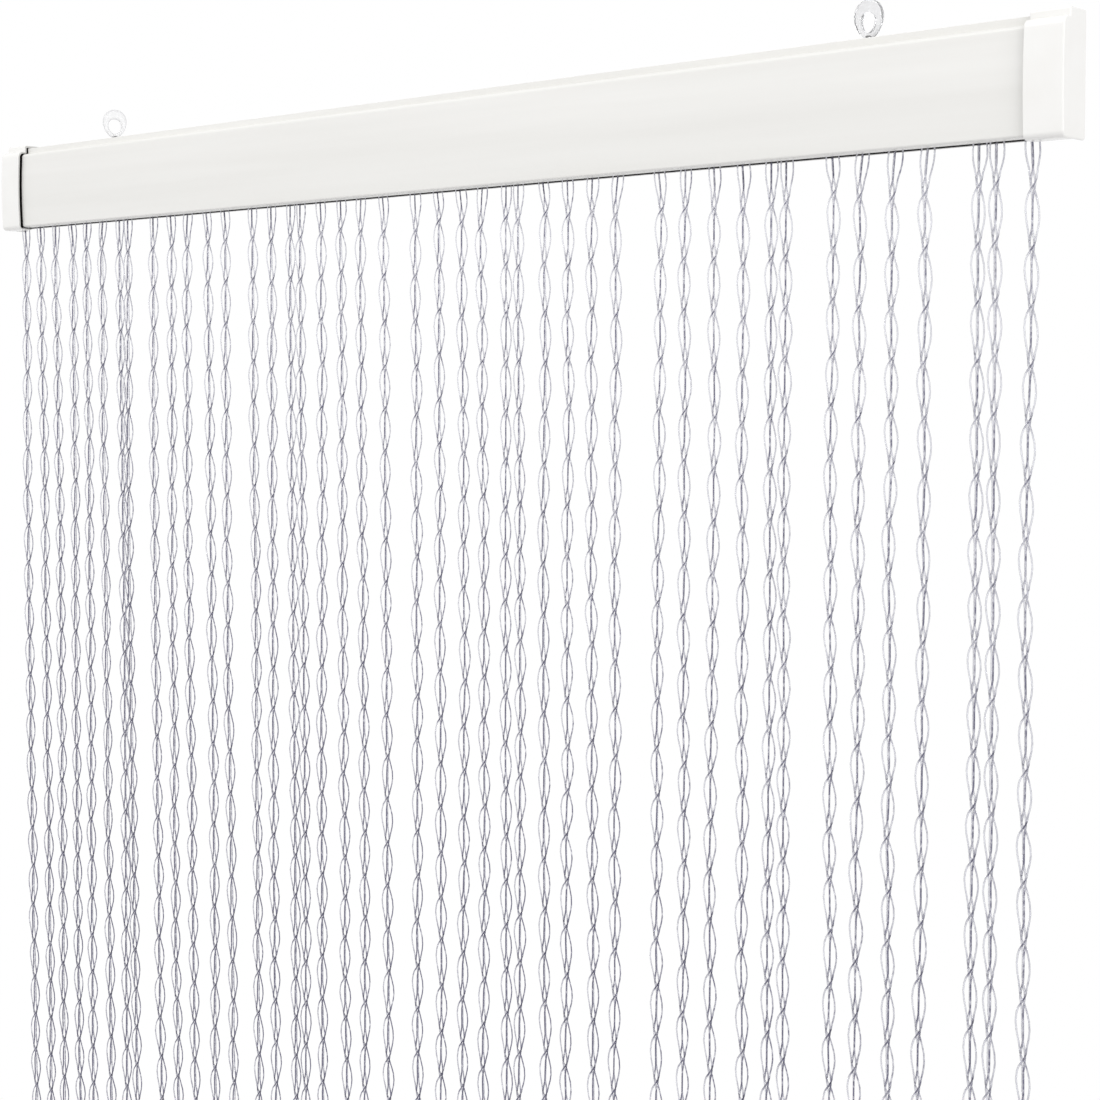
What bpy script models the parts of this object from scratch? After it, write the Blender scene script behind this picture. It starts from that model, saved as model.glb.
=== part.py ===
"""Insect door curtain: a white rail with end caps and hanging eyes, and a row of clear strings.

Metres, +Z up. X runs along the rail and the curtain's front faces -Y. The origin is the middle of
the rail's flat back. Outlines are drawn from the rail's back lower edge, as depth and height.
"""

from math import ceil, cos, pi, radians, sin

import bmesh
import bpy

# The whole curtain
curtain_width = 0.900
curtain_height = 2.000
gap = 0.0003
cut_overrun = 0.002

# Rail, an extruded section
rail_depth = 0.019
rail_height = 0.0596
rail_wall = 0.0014
front_bulge = 0.0008
shoulder_drop = 0.0046
shoulder_radius = 0.0026
bottom_radius = 0.0014
front_shares = (1.0, 0.86, 0.70, 0.54, 0.38, 0.22, 0.10, 0.0)
arc_steps = 4

# Top channel, where the hanging eyes slide
web_set_back = 0.0060
channel_height = 0.0060
channel_slot = 0.0044

# Slot in the underside, where the strings come out, and the groove beside it
slot_front = 0.0097
slot_rear = 0.0039
rib_thickness = 0.0010
rib_height = 0.0050
groove_width = 0.0022

# End caps
cap_length = 0.0222
cap_wall = 0.0017
cap_front_play = 0.0016
cap_end_wall = 0.0022
cap_slot_relief = 0.0010
tongue_length = 0.0150
tongue_depth = 0.0040
tongue_height = 0.0240
tongue_base = 0.0180

# Hook strips, which stand in the groove
hooks_per_strip = 15
hook_pitch = 0.00996
strip_inset = 0.0003
strip_thickness = 0.0016
strip_height = 0.0105
hook_width = 0.0020
hook_thickness = 0.0018
hook_base = 0.0060
hook_tip_depth = 0.0043
hook_tip_thickness = 0.0008
hook_tip_rise = 0.0016

# Strings: the hooks from each string to the next, which start again where a longer rail holds more
first_hook = 0
hooks_between = (
    2, 2, 2, 2, 2, 2, 1, 3, 2, 2, 2, 2, 3, 2, 2, 1, 2, 2, 2, 2, 3, 2,
    2, 2, 2, 1, 2, 2, 2, 2, 3, 2, 2, 2, 2, 1, 3, 2, 2, 2, 3, 1, 2,
)
strand_diameter = 0.0012
string_depth = 0.0068
eye_play = 0.00035
eye_wall = 0.0013
eye_length = 0.0250
eye_stub = 0.0040
eye_shares = ((0.59, 0.10), (0.97, 0.28), (1.0, 0.44), (0.80, 0.68), (0.47, 0.86))
seat_width = 0.0028
cage_count = 6
cage_pitch = 0.0292
cage_width = 0.0088
pinch_width = 0.0028
cage_sides = 4
bay_count = 2
bay_width = 0.0062
tie_height = 0.0070

# Hanging eyes and the gliders that carry them
eye_inset = 0.1225
ring_width = 0.0170
ring_height = 0.0204
ring_lift = 0.0006
ring_taper_share = 0.14
ring_thickness = 0.0040
ring_rounding = 0.0010
ring_points = 20
hole_width = 0.0090
hole_height = 0.0106
hole_lift = 0.0034
hole_points = 14
ring_turns = (radians(58), 0.0)
stem_diameter = 0.0030
head_diameter = 0.0056
head_thickness = 0.0016
round_steps = 16
glider_length = 0.0140
glider_rounding = 0.0008
glider_top = 0.0018
pin_play = 0.0003

# Sizes that follow from those above
rail_length = curtain_width - 2 * (cap_end_wall + gap)
web_depth = rail_depth - web_set_back
floor_height = rail_height - rail_wall - channel_height
channel_middle = web_depth / 2
shoulder_height = rail_height - shoulder_drop
groove_back = slot_front + rib_thickness
groove_front = groove_back + groove_width
rib_front = groove_front + rib_thickness
strip_back = groove_back + (groove_width - strip_thickness) / 2
strip_front = strip_back + strip_thickness
strips_left = strip_inset - rail_length / 2
hook_count = int((rail_length - strip_inset) / hook_pitch)
strip_count = ceil(hook_count / hooks_per_strip)
hook_top = hook_base + hook_thickness
pivot_height = hook_top + eye_play + eye_wall / 2
hem_height = rail_height - curtain_height
weld = gap / 1000

# Colours, as red, green and blue
rail_white = (0.86, 0.85, 0.83)
cap_white = (0.93, 0.93, 0.91)
inner_white = (0.80, 0.80, 0.78)
clear_plastic = (0.88, 0.88, 0.90)
string_clear = (0.82, 0.82, 0.87)


def clear_scene():
    for item in list(bpy.data.objects):
        bpy.data.objects.remove(item, do_unlink=True)


def make_collection(name):
    made = bpy.data.collections.new(name)
    bpy.context.scene.collection.children.link(made)
    return made


def plastic(name, colour, roughness, alpha=1.0):
    made = bpy.data.materials.new(name)
    made.use_nodes = True
    shader = made.node_tree.nodes["Principled BSDF"]
    shader.inputs["Base Color"].default_value = (*colour, 1.0)
    shader.inputs["Roughness"].default_value = roughness
    shader.inputs["Metallic"].default_value = 0.0
    shader.inputs["Alpha"].default_value = alpha
    return made


def dress(item, material):
    item.data.materials.clear()
    item.data.materials.append(material)
    return item


def height_in_space(height):
    """Heights are drawn from the rail's lower edge, and the origin is at the middle of its back."""
    return height - rail_height / 2


def flat_shape(name, outlines, thickness, collection, bevel=0):
    """A flat outline, with any further outlines as holes, made thick on both sides of its plane."""
    curve = bpy.data.curves.new(name, "CURVE")
    curve.dimensions = "2D"
    curve.fill_mode = "BOTH"
    curve.extrude = thickness / 2 - bevel
    curve.bevel_depth = bevel
    curve.bevel_resolution = 1
    curve.offset = -bevel
    for outline in outlines:
        spline = curve.splines.new("POLY")
        spline.points.add(len(outline) - 1)
        for point, (across, up) in zip(spline.points, outline):
            point.co = (across, up, 0, 1)
        spline.use_cyclic_u = True
    item = bpy.data.objects.new(name, curve)
    collection.objects.link(item)
    return item


def along_rail(item, x):
    """Turn a flat shape drawn as depth and height so that its thickness runs along the rail."""
    item.rotation_euler = (pi / 2, 0, pi / 2)
    item.location = (x, 0, height_in_space(0))
    return item


def as_mesh(item, name, collection):
    """The same shape as a mesh, with its loose caps welded, in the place of the object it came from."""
    bpy.context.view_layer.update()
    graph = bpy.context.evaluated_depsgraph_get()
    mesh = bpy.data.meshes.new_from_object(item.evaluated_get(graph))
    shape = bmesh.new()
    shape.from_mesh(mesh)
    bmesh.ops.remove_doubles(shape, verts=shape.verts, dist=weld)
    bmesh.ops.recalc_face_normals(shape, faces=shape.faces)
    shape.to_mesh(mesh)
    shape.free()
    made = bpy.data.objects.new(name, mesh)
    made.matrix_world = item.matrix_world.copy()
    collection.objects.link(made)
    bpy.data.objects.remove(item, do_unlink=True)
    return made


def box(name, low, high, collection):
    """A box between two opposite corners."""
    shape = bmesh.new()
    bmesh.ops.create_cube(shape, size=1)
    for vertex in shape.verts:
        for axis in range(3):
            middle = (low[axis] + high[axis]) / 2
            vertex.co[axis] = middle + vertex.co[axis] * (high[axis] - low[axis])
    mesh = bpy.data.meshes.new(name)
    shape.to_mesh(mesh)
    shape.free()
    item = bpy.data.objects.new(name, mesh)
    collection.objects.link(item)
    return item


def turned(name, profile, steps, collection):
    """A profile of radius and height, top to bottom, turned round the vertical axis."""
    mesh = bpy.data.meshes.new(name)
    points = [(radius, 0, height) for radius, height in profile]
    mesh.from_pydata(points, [(i, i + 1) for i in range(len(points) - 1)], [])
    item = bpy.data.objects.new(name, mesh)
    collection.objects.link(item)
    screw = item.modifiers.new("turn", "SCREW")
    screw.steps = steps
    screw.render_steps = steps
    screw.use_merge_vertices = True
    screw.merge_threshold = weld
    return item


def combine(item, other, operation):
    change = item.modifiers.new(operation.lower(), "BOOLEAN")
    change.operation = operation
    change.solver = "EXACT"
    change.object = other
    other.display_type = "WIRE"
    other.hide_render = True


def arc(centre, radius, start, end):
    """Points on an arc from one direction to another, in degrees: 0 is up, 90 the front, 180 down."""
    points = []
    for step in range(arc_steps + 1):
        turn = radians(start + (end - start) * step / arc_steps)
        points.append((centre[0] - radius * sin(turn), centre[1] + radius * cos(turn)))
    return points


def front_panel(offset, play=0):
    """The rounded shoulder, the bulging front and the rounded lower edge, grown by an offset.

    The play moves all of it forwards.
    """
    face = rail_depth - front_bulge + play
    top_centre = (-(face - shoulder_radius), shoulder_height - shoulder_radius)
    low_centre = (-(face - bottom_radius), bottom_radius)
    points = arc(top_centre, shoulder_radius + offset, 0, 80)
    for share in front_shares[1:-1]:
        height = low_centre[1] + (top_centre[1] - low_centre[1]) * share
        bulge = front_bulge * (1 - (2 * share - 1) ** 2)
        points.append((-(face + bulge + offset), height))
    points += arc(low_centre, bottom_radius + offset, 100, 180)
    return points


def rail_outline():
    opening_rear = channel_middle - channel_slot / 2
    opening_fore = channel_middle + channel_slot / 2
    lip_height = rail_height - rail_wall
    outside = [(0, 0), (0, rail_height), (-opening_rear, rail_height), (-opening_rear, lip_height)]
    channel = [
        (-rail_wall, lip_height),
        (-rail_wall, floor_height),
        (-(web_depth - rail_wall), floor_height),
        (-(web_depth - rail_wall), lip_height),
        (-opening_fore, lip_height),
        (-opening_fore, rail_height),
        (-web_depth, rail_height),
        (-web_depth, shoulder_height),
    ]
    lip_and_groove = [
        (-slot_front, 0),
        (-slot_front, rib_height),
        (-groove_back, rib_height),
        (-groove_back, rail_wall),
        (-groove_front, rail_wall),
        (-groove_front, rib_height),
        (-rib_front, rib_height),
        (-rib_front, rail_wall),
    ]
    inside = list(reversed(front_panel(-rail_wall)))
    chamber = [
        (-web_depth, shoulder_height - rail_wall),
        (-web_depth, floor_height - rail_wall),
        (-rail_wall, floor_height - rail_wall),
        (-rail_wall, rail_wall),
        (-slot_rear, rail_wall),
        (-slot_rear, 0),
    ]
    return outside + channel + front_panel(0) + lip_and_groove + inside + chamber


def cap_outline(offset, back):
    """The rail's outline without its slots, grown by an offset and with play at its front."""
    top = rail_height + offset
    step = [(back, -offset), (back, top), (-(web_depth + offset), top)]
    step.append((-(web_depth + offset), shoulder_height + offset))
    return step + front_panel(offset, cap_front_play)


def make_rail(parts, material):
    rail = flat_shape("rail", [rail_outline()], rail_length, parts)
    dress(along_rail(rail, 0), material)


def make_cap(name, side, parts, cutters, material):
    """A sleeve over the rail's end with an end wall, a slot for the strings and a tongue inside."""
    outer_end = side * curtain_width / 2
    inner_end = outer_end - side * cap_length
    wall_end = outer_end - side * cap_end_wall
    middle = (outer_end + inner_end) / 2
    shell = flat_shape(name + "_outline", [cap_outline(gap + cap_wall, 0)], cap_length, cutters)
    shell = as_mesh(along_rail(shell, middle), name, parts)
    hollow_length = cap_length - cap_end_wall + cut_overrun
    hollow_middle = wall_end - side * hollow_length / 2
    hollow = flat_shape(name + "_bore", [cap_outline(gap, cut_overrun)], hollow_length, cutters)
    hollow = as_mesh(along_rail(hollow, hollow_middle), name + "_hollow", cutters)
    combine(shell, hollow, "DIFFERENCE")
    xs = sorted((wall_end, inner_end - side * cut_overrun))
    way_low = (xs[0], -(slot_front + cap_slot_relief), height_in_space(-gap - cap_wall - cut_overrun))
    way = box(name + "_string_way", way_low, (xs[1], cut_overrun, height_in_space(gap)), cutters)
    combine(shell, way, "DIFFERENCE")
    tongue_front = rail_depth - front_bulge - rail_wall - gap
    xs = sorted((wall_end + side * cap_end_wall / 2, wall_end - side * tongue_length))
    low = (xs[0], -tongue_front, height_in_space(tongue_base))
    high = (xs[1], -tongue_front + tongue_depth, height_in_space(tongue_base + tongue_height))
    combine(shell, box(name + "_tongue", low, high, cutters), "UNION")
    dress(shell, material)


def hook_outline():
    """A hook seen along the rail: out of the strip over the slot, with its tip turned up."""
    root = (strip_back + strip_front) / 2
    return [
        (-root, hook_base),
        (-hook_tip_depth, hook_base),
        (-hook_tip_depth, hook_top + hook_tip_rise),
        (-hook_tip_depth - hook_tip_thickness, hook_top + hook_tip_rise),
        (-hook_tip_depth - hook_tip_thickness, hook_top),
        (-root, hook_top),
    ]


def hook_strip(hooks, cutters):
    """The mesh of a flat strip with a hook in the middle of each pitch, drawn from its left end."""
    base = rail_wall + gap
    low = (gap / 2, -strip_front, height_in_space(base))
    high = (hooks * hook_pitch - gap / 2, -strip_back, height_in_space(base + strip_height))
    plate = box("strip_plate", low, high, cutters)
    for number in range(hooks):
        hook = flat_shape("hook_outline", [hook_outline()], hook_width, cutters)
        hook = as_mesh(along_rail(hook, hook_pitch * (number + 1 / 2)), f"hook_{number + 1}", cutters)
        combine(plate, hook, "UNION")
    strip = as_mesh(plate, "strip", cutters)
    mesh = strip.data
    bpy.data.objects.remove(strip, do_unlink=True)
    return mesh


def make_hook_strips(parts, cutters, material):
    """Strips end to end along the rail, the last one cut short if there is less room for it."""
    whole = hook_strip(hooks_per_strip, cutters)
    for number in range(strip_count):
        first = number * hooks_per_strip
        hooks = min(hooks_per_strip, hook_count - first)
        mesh = whole if hooks == hooks_per_strip else hook_strip(hooks, cutters)
        item = bpy.data.objects.new(f"hook_strip_{number + 1}", mesh)
        item.location = (strips_left + first * hook_pitch, 0, 0)
        parts.objects.link(item)
        dress(item, material)


def string_eye(cutters):
    """The string's top cage, drawn round the middle of its apex and as thick as two strands."""
    half = cage_width / 2
    side_outer = [(half * wide, -eye_length * deep) for wide, deep in eye_shares]
    side_inner = [
        (max(half * wide - eye_wall, pinch_width / 8), -eye_length * deep) for wide, deep in eye_shares
    ]
    stub = pinch_width / 2
    neck_end = -eye_length - 2 * pinch_width
    outer = [(stub, eye_stub), (stub, eye_wall / 2), *side_outer, (stub, -eye_length), (stub, neck_end)]
    inner = [(seat_width / 2, -eye_wall / 2), *side_inner]
    outer += [(-across, up) for across, up in reversed(outer)]
    inner += [(-across, up) for across, up in reversed(inner)]
    eye = flat_shape("string_eye_outline", [outer, inner], 2 * strand_diameter, cutters)
    eye.rotation_euler = (pi / 2, 0, 0)
    return as_mesh(eye, "string_eye", cutters)


def string_bays(top, hem, cutters):
    """Four straight strands, tied together at the top, at the hem and between the bays."""
    half = bay_width / 2
    opening = half - strand_diameter
    bar = box("string_bays", (-half, -half, hem), (half, half, top), cutters)
    bay_height = (top - hem - tie_height) / bay_count
    for bay in range(bay_count):
        high = top - tie_height - bay * bay_height
        low = high - bay_height + tie_height
        through = half + cut_overrun
        for name, across, deep in (("front", opening, through), ("side", through, opening)):
            window = box(f"bay_{bay + 1}_{name}_window", (-across, -deep, low), (across, deep, high), cutters)
            combine(bar, window, "DIFFERENCE")
    return as_mesh(bar, "string_bays", cutters)


def string_hooks():
    """The number of each hook that carries a string, along all the strips."""
    hooks = []
    hook = first_hook
    while hook < hook_count:
        hooks.append(hook)
        hook += hooks_between[(len(hooks) - 1) % len(hooks_between)]
    return hooks


def make_strings(parts, cutters, material):
    """Each string is its top cage, then closed cages, and below them open bays down to the hem."""
    eye = string_eye(cutters)
    hem = hem_height - pivot_height
    start = -eye_length - pinch_width
    profile = [(0, start), (pinch_width / 2, start)]
    for cage in range(cage_count):
        cage_top = start - cage * cage_pitch
        profile.append((cage_width / 2, cage_top - cage_pitch / 2))
        profile.append((pinch_width / 2, cage_top - cage_pitch))
    bays_top = start - cage_count * cage_pitch
    middle_of_tie = bays_top - tie_height / 2
    profile += [(pinch_width / 2, middle_of_tie), (0, middle_of_tie)]
    cages = as_mesh(turned("string_cage_profile", profile, cage_sides, cutters), "string_cages", cutters)
    combine(eye, cages, "UNION")
    combine(eye, string_bays(bays_top, hem, cutters), "UNION")
    whole = as_mesh(eye, "string", cutters)
    for number, hook in enumerate(string_hooks()):
        copy = bpy.data.objects.new(f"string_{number + 1:02d}", whole.data)
        copy.rotation_euler = whole.rotation_euler
        x = strips_left + (hook + 1 / 2) * hook_pitch
        copy.location = (x, -string_depth, height_in_space(pivot_height))
        parts.objects.link(copy)
        dress(copy, material)
    bpy.data.objects.remove(whole, do_unlink=True)


def egg(width, height, lift, taper, count):
    """A closed oval, wider towards its top by the taper, standing a lift above zero."""
    points = []
    for step in range(count):
        turn = 2 * pi * step / count
        across = width / 2 * sin(turn) * (1 + taper * cos(turn))
        points.append((across, lift + height / 2 * (1 + cos(turn))))
    return points


def make_hanging_eye(name, x, turn, parts, cutters, material):
    """A clear ring on a stem, whose round head turns inside the glider."""
    outer = egg(ring_width, ring_height, ring_lift, ring_taper_share, ring_points)
    hole = egg(hole_width, hole_height, hole_lift, ring_taper_share, hole_points)
    ring = flat_shape(name + "_outline", [outer, hole], ring_thickness, cutters, ring_rounding)
    ring.rotation_euler = (pi / 2, 0, 0)
    ring = as_mesh(ring, name, parts)
    head_top = -rail_wall - gap - glider_top - pin_play
    profile = [
        (0, ring_lift + (hole_lift - ring_lift) / 2),
        (stem_diameter / 2, ring_lift + (hole_lift - ring_lift) / 2),
        (stem_diameter / 2, head_top),
        (head_diameter / 2, head_top),
        (head_diameter / 2, head_top - head_thickness),
        (0, head_top - head_thickness),
    ]
    stem = turned(name + "_stem", profile, round_steps, cutters)
    for item in (ring, stem):
        item.location = (x, -channel_middle, height_in_space(rail_height))
        item.rotation_euler[2] = turn
    combine(ring, stem, "UNION")
    dress(ring, material)


def make_glider(name, x, parts, cutters, material):
    """A block in the rail's top channel, with a stepped bore for the eye's stem and head."""
    top = -rail_wall - gap
    base = -rail_wall - channel_height + gap
    half_depth = (web_depth - 2 * rail_wall) / 2 - gap
    low = (-glider_length / 2, -half_depth, base)
    block = box(name, low, (glider_length / 2, half_depth, top), parts)
    rounding = block.modifiers.new("rounding", "BEVEL")
    rounding.width = glider_rounding
    rounding.segments = 1
    stem_bore = stem_diameter / 2 + pin_play
    head_bore = head_diameter / 2 + pin_play
    profile = [
        (0, top + cut_overrun),
        (stem_bore, top + cut_overrun),
        (stem_bore, top - glider_top),
        (head_bore, top - glider_top),
        (head_bore, base - cut_overrun),
        (0, base - cut_overrun),
    ]
    bore = turned(name + "_bore", profile, round_steps, cutters)
    for item in (block, bore):
        item.location = (x, -channel_middle, height_in_space(rail_height))
    combine(block, bore, "DIFFERENCE")
    dress(block, material)


def main():
    clear_scene()
    parts = make_collection("insect_door_curtain")
    cutters = make_collection("cutters")
    rail_plastic = plastic("rail_white_plastic", rail_white, 0.35)
    cap_plastic = plastic("cap_gloss_white_plastic", cap_white, 0.2)
    inner_plastic = plastic("inner_white_plastic", inner_white, 0.5)
    eye_plastic = plastic("eye_clear_plastic", clear_plastic, 0.1, 0.5)
    string_plastic = plastic("string_clear_plastic", string_clear, 0.15, 0.6)
    make_rail(parts, rail_plastic)
    make_cap("end_cap_left", -1, parts, cutters, cap_plastic)
    make_cap("end_cap_right", 1, parts, cutters, cap_plastic)
    make_hook_strips(parts, cutters, inner_plastic)
    for side, name, turn in ((-1, "left", ring_turns[0]), (1, "right", ring_turns[1])):
        x = side * (curtain_width / 2 - eye_inset)
        make_glider(f"glider_{name}", x, parts, cutters, inner_plastic)
        make_hanging_eye(f"hanging_eye_{name}", x, turn, parts, cutters, eye_plastic)
    make_strings(parts, cutters, string_plastic)


main()
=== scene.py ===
"""The looks of the insect door curtain: satin rail, glossy end caps, clear eyes and clear strings.

Sizes are in millimetres and become metres when a mesh is made. X runs along the rail, the front
faces -Y and Z is up. The origin is the middle of the rail's flat back.
"""

import bpy
import numpy as np
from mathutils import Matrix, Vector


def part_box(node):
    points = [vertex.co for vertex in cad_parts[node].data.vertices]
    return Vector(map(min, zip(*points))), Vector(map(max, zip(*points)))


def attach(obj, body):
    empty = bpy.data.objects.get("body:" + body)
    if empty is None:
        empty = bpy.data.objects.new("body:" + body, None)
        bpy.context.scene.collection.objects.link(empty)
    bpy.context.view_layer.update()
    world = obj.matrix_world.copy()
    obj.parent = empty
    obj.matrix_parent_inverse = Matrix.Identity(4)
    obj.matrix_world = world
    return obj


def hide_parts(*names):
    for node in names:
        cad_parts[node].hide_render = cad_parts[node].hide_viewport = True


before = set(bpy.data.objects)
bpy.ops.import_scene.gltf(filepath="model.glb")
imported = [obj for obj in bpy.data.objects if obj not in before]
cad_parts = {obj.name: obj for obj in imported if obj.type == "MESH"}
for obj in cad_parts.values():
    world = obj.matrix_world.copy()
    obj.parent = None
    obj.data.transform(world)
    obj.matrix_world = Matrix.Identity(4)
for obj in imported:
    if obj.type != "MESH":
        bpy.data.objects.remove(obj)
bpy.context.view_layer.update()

MM = 0.001

# The rail's section, drawn as depth and height from its back lower edge
RAIL_HEIGHT = 59.6
RAIL_FACE = 18.2
FRONT_BULGE = 0.79
WALL = 1.4
WEB_DEPTH = 13.0
SHOULDER_HEIGHT = 55.0
SHOULDER_ROUND = 2.6
FOOT_ROUND = 1.4
CHANNEL_FLOOR = 52.2
CHANNEL_SLOT = (4.3, 8.7)
STRING_SLOT = (3.9, 9.7)
RIB_HEIGHT = 5.0
GROOVE = (10.7, 12.9)
RIB_FRONT = 13.9
CRISP = 0.15
SOFT = 0.35

# End caps
HALF_WIDTH = 450.0
CAP_LENGTH = 22.2
CAP_END = 2.2
CAP_WALL = 1.7
CAP_GAP = 0.3
CAP_PLAY = 1.6
WEB_PLAY = 0.9
FOOT_PLAY = 0.6
CAP_WAY = 10.7
CAP_ROUND = 1.1
CAP_RIDGE_ROUND = 0.3
CAP_RIM_ROUND = 0.3
CAP_PLATE_STEPS = 6
# Share of the caps' near-black painted shade that the sleeve's end rims take
RIM_PAINTED_SHADE = 0.3

# Strings: where they hang, their hem and their strands
STRING_COUNT = 44
STRING_SEED = 7
STRING_DEPTH = 6.8
STRING_WIDTH = 8.8
ROOM_SHARE = 0.35
MOST_ROOM = 1.5
NO_NEIGHBOUR = 99
PIVOT_HEIGHT = -21.0
HEM_HEIGHT = -1970.2
HEM_UNEVEN = 4.0
HEM_GAP = 1.0
STRANDS = 4
STRAND_SIDES = 4
STRAND_RADII = np.array([0.52, 0.58, 0.52, 0.58])

# A string's cages, from the strands' radii about its middle line to their swell, twist and lean
BUNDLE = np.array([[1.3], [1.1], [1.3], [1.1]])
CAGE = np.array([[3.6], [1.9], [3.6], [1.9]])
CAGE_PITCH = 28.6
PITCH_UNEVEN = 1.0
CAGE_LENGTHS = (0.95, 1.05)
CAGE_FULLNESS = (0.92, 1.05)
STRAND_FULLNESS = (0.88, 1.0)
CAGE_STEPS = np.array([0.0, 0.05, 0.11, 0.2, 0.34, 0.5, 0.62, 0.71, 0.77, 0.82, 0.87, 0.91, 0.955])
SWELL_AT = np.array([0.0, 0.05, 0.11, 0.18, 0.26, 0.37, 0.48, 0.58, 0.68, 0.78, 0.84, 0.93, 1.0])
INNER_SWELL = np.array([0.0, 0.06, 0.28, 0.54, 0.8, 0.98, 1.0, 0.84, 0.56, 0.24, 0.1, 0.0, 0.0])
LEFT_SWELL = np.array([0.05, 0.2, 0.46, 0.73, 0.94, 1.0, 0.84, 0.6, 0.34, 0.14, 0.06, 0.0, 0.0])
RIGHT_SWELL = np.array([0.0, 0.0, 0.13, 0.38, 0.67, 0.93, 1.0, 0.92, 0.68, 0.34, 0.22, 0.1, 0.03])
TWIST_START = np.array([[0.8], [0.6], [0.8], [0.6]])
TWIST_LENGTH = np.array([[0.36], [0.62], [0.36], [0.62]])
LEAN = (-0.2, -0.06)
LEAN_WAVE = 0.07
LEAN_WAVE_LENGTH = 190

# Its top cage, over the hook and through the slot
TOP_LENGTHS = (27.5, 34.0)
TOP_STEPS = np.array(
    [-3.9, -0.7, 0.2, 0.9, 1.7, 2.9, 5.0, 7.4, 9.4, 10.4, 12.5, 15.5, 18.5, 21.0, 23.0]
)
TOP_OUTER = np.array(
    [0.6, 0.62, 1.2, 1.72, 2.0, 2.4, 3.0, 3.4, 3.7, 3.8, 3.9, 3.8, 3.3, 2.7, 2.1]
)
TOP_INNER = np.array(
    [0.6, 0.62, 1.2, 1.75, 1.8, 1.7, 1.1, 0.75, 0.65, 0.6, 0.6, 0.6, 0.6, 0.6, 0.6]
)
TOP_HALF_DEPTH = 0.62
TOP_SHARES = ((1.0, 1.25), (1.0, 1.0), (0.65, 0.95), (1.0, 1.0))
TOP_SHARES_DEPTH = 7
TOP_ROUNDS_AT = (0.56, 0.9)
STEP_GAP = 0.8

# How its middle line wanders: FROM is the depth where that starts, BUILD the way in which it grows
WAVE_STARTS = (0, 6.28)
SWAY_LENGTHS = (110, 330)
SWAY_SHARES = np.array([0.5, 0.3, 0.2])
SWAY_FROM = 9
SWAY_BUILD = 260
FORWARD_SWAY = 1.8
FORWARD_LENGTHS = 1.3
FORWARD_STARTS = 2.0
DRIFT = 2.1
DRIFT_ROOM = 0.4
DRIFT_FROM = 3
DRIFT_BUILD = 20
STRAY = 0.75

# Its painted shade: angles of the front and shaded side, shares of darkness, where the tone grows
FRONT_SIDE = -np.pi / 4
SHADED_SIDE = np.pi / 4
SIDE_POWER = 1.5
PINCHED_SWELL = 0.6
INNER_LEAST = 0.5
TOP_DARKNESS = np.array([[0.6], [0.8], [0.2], [0.8]])
CAGE_DARKNESS = (0.5, 1.25)
TONE_WIDTH = 450.0
TONE_HEIGHT = 500.0
TONE_LEFT = 0.15
TONE_LOW = 0.2
TONE_LOW_LEFT = 0.65
SIDE_SHARES = (0.3, 0.9, 0.9)
MILKY_AT = (5.0, 7.4, 9.4, 10.4)

# Hanging eyes
EYE_AT = 327.5
EYE_DEPTH = 6.5
EYE_TURNS = {"left": np.radians(58), "right": 0.0}
RING = (16.85, 20.4, 0.6)
HOLE = (9.0, 10.6, 3.4)
RING_TAPER = 0.14
RING_THICK = 3.8
RING_POWER = 0.45
STEM = ((1.5, 2.0), (1.5, -3.8), (2.8, -3.8), (2.8, -5.4))

# Materials: specular for outside and inside, the painted shade's shares for low and high noise
NOISE_LIMITS = (0.3, 0.7)
SPECULAR = (0.5, 0.1)
WHITE_IOR = 1.5
CLEAR_IOR = 1.46
PAINT_GRAIN = (420.0, (1, 1, 1), 2.0)
PAINT_SHARES = (0.1, 1.35)
MILKY_TRANSMISSION = 0.1

# Floor, light and camera, in metres and degrees
WHITE = (1, 1, 1, 1)
FLOOR_HALF = 30.0
FLOOR_BELOW_HEM = 0.02
FLOOR_COLOUR = (0.86, 0.86, 0.87, 1)
FLOOR_ROUGHNESS = 0.7
FLOOR_FADE = (1.2, 3.6)
HALF_A_BOUNCE = 0.5
WORLD_STRENGTH = 0.68
CAMERA_LENS = 69.93
CAMERA_SENSOR = 36.0
CAMERA_SHIFT = -0.05
CAMERA_FAR = 100.0
CAMERA_PLACE = (0.96382, -0.95713, -0.1545)
CAMERA_DIP = 2.7774
CAMERA_TURN = 42.2067


def smooth_step(value):
    """Runs from 0 to 1 with level ends: three times the square less twice the cube."""
    value = np.clip(value, 0.0, 1.0)
    return value * value * (3 - 2 * value)


# Surfaces


def skin(grid, looped=False):
    """Faces between neighbouring rings of a grid of points, as one closed shell facing outwards.

    The grid is rings by points round a ring by 3. The first and last rings are joined to each
    other, or else each is closed by one flat face.
    """
    rings, around = grid.shape[:2]
    number = np.arange(rings * around).reshape(rings, around)
    if looped:
        number = np.concatenate([number, number[:1]])
    beside = np.roll(number, -1, axis=1)
    quads = np.stack([number[:-1], beside[:-1], beside[1:], number[1:]], axis=-1).reshape(-1, 4)
    ends = [] if looped else [number[0][::-1], number[-1]]
    points = grid.reshape(-1, 3)
    corners = points[quads]
    diagonals = np.cross(corners[:, 2] - corners[:, 0], corners[:, 3] - corners[:, 1])
    volume = np.einsum("ij,ij->", corners.mean(axis=1) - points.mean(axis=0), diagonals)
    if volume < 0:
        quads = quads[:, ::-1]
        ends = [end[::-1] for end in ends]
    return points, quads, ends


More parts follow.
